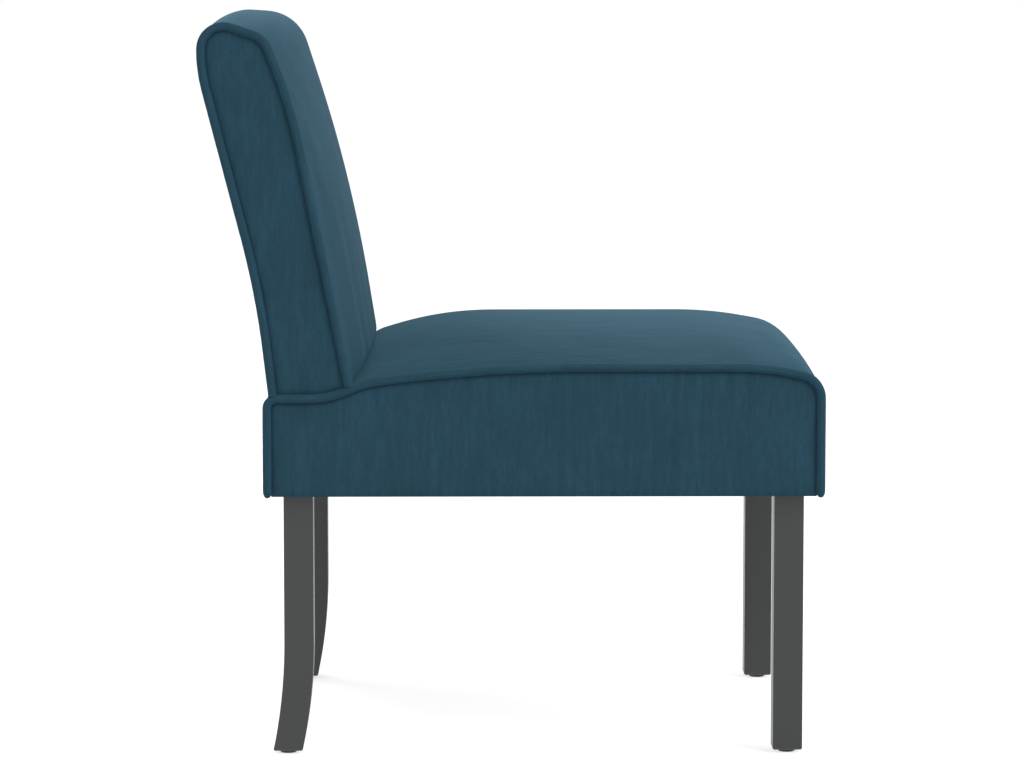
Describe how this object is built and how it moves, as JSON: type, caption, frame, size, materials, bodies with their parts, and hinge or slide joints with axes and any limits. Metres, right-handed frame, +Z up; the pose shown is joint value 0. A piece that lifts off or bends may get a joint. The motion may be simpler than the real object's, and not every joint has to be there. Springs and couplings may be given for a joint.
{
  "type": "slipper chair",
  "caption": "Armless upholstered slipper chair with a crowned velvet seat, a leaning crowned back edged with welts, straight square front legs and sabre rear legs.",
  "frame": {"origin": "on the floor under the middle of the overall box", "axes": "+Z up, the sitter faces -Y, the sitter's left is +X"},
  "size_m": [0.523, 0.6564, 0.7808],
  "materials": {
    "velvet": "teal-blue short-pile velvet",
    "foam": "open-cell polyurethane foam",
    "webbing": "woven elastic webbing",
    "dust_cover": "black non-woven cloth",
    "frame_wood": "raw pine and plywood",
    "lacquered_wood": "satin grey-black lacquer",
    "zinc_steel": "zinc plated",
    "glide_plastic": "moulded black plastic"
  },
  "bodies": {
    "root": {"back_cover": "velvet", "back_foam": "foam", "back_lower_rail": "frame_wood", "back_screws": "zinc_steel", "back_side_panel_left": "velvet", "back_side_panel_right": "velvet", "back_stile_left": "frame_wood", "back_stile_right": "frame_wood", "back_top_rail": "frame_wood", "back_washers": "zinc_steel", "back_webbing": "webbing", "back_welt_left": "velvet", "back_welt_right": "velvet", "corner_brace_front_left": "frame_wood", "corner_brace_front_right": "frame_wood", "corner_brace_rear_left": "frame_wood", "corner_brace_rear_right": "frame_wood", "deck_board": "frame_wood", "dust_cover": "dust_cover", "front_leg_left": "lacquered_wood", "front_leg_right": "lacquered_wood", "leg_bolts": "zinc_steel", "leg_glide_front_left": "glide_plastic", "leg_glide_front_right": "glide_plastic", "leg_glide_rear_left": "glide_plastic", "leg_glide_rear_right": "glide_plastic", "leg_nuts": "zinc_steel", "leg_washers": "zinc_steel", "rear_leg_left": "lacquered_wood", "rear_leg_right": "lacquered_wood", "seat_cover": "velvet", "seat_foam": "foam", "seat_rail_front": "frame_wood", "seat_rail_left": "frame_wood", "seat_rail_rear": "frame_wood", "seat_rail_right": "frame_wood", "seat_side_panel_left": "velvet", "seat_side_panel_right": "velvet", "seat_webbing_crosswise": "webbing", "seat_webbing_lengthwise": "webbing", "seat_welt_left": "velvet", "seat_welt_right": "velvet"}
  },
  "joints": []
}
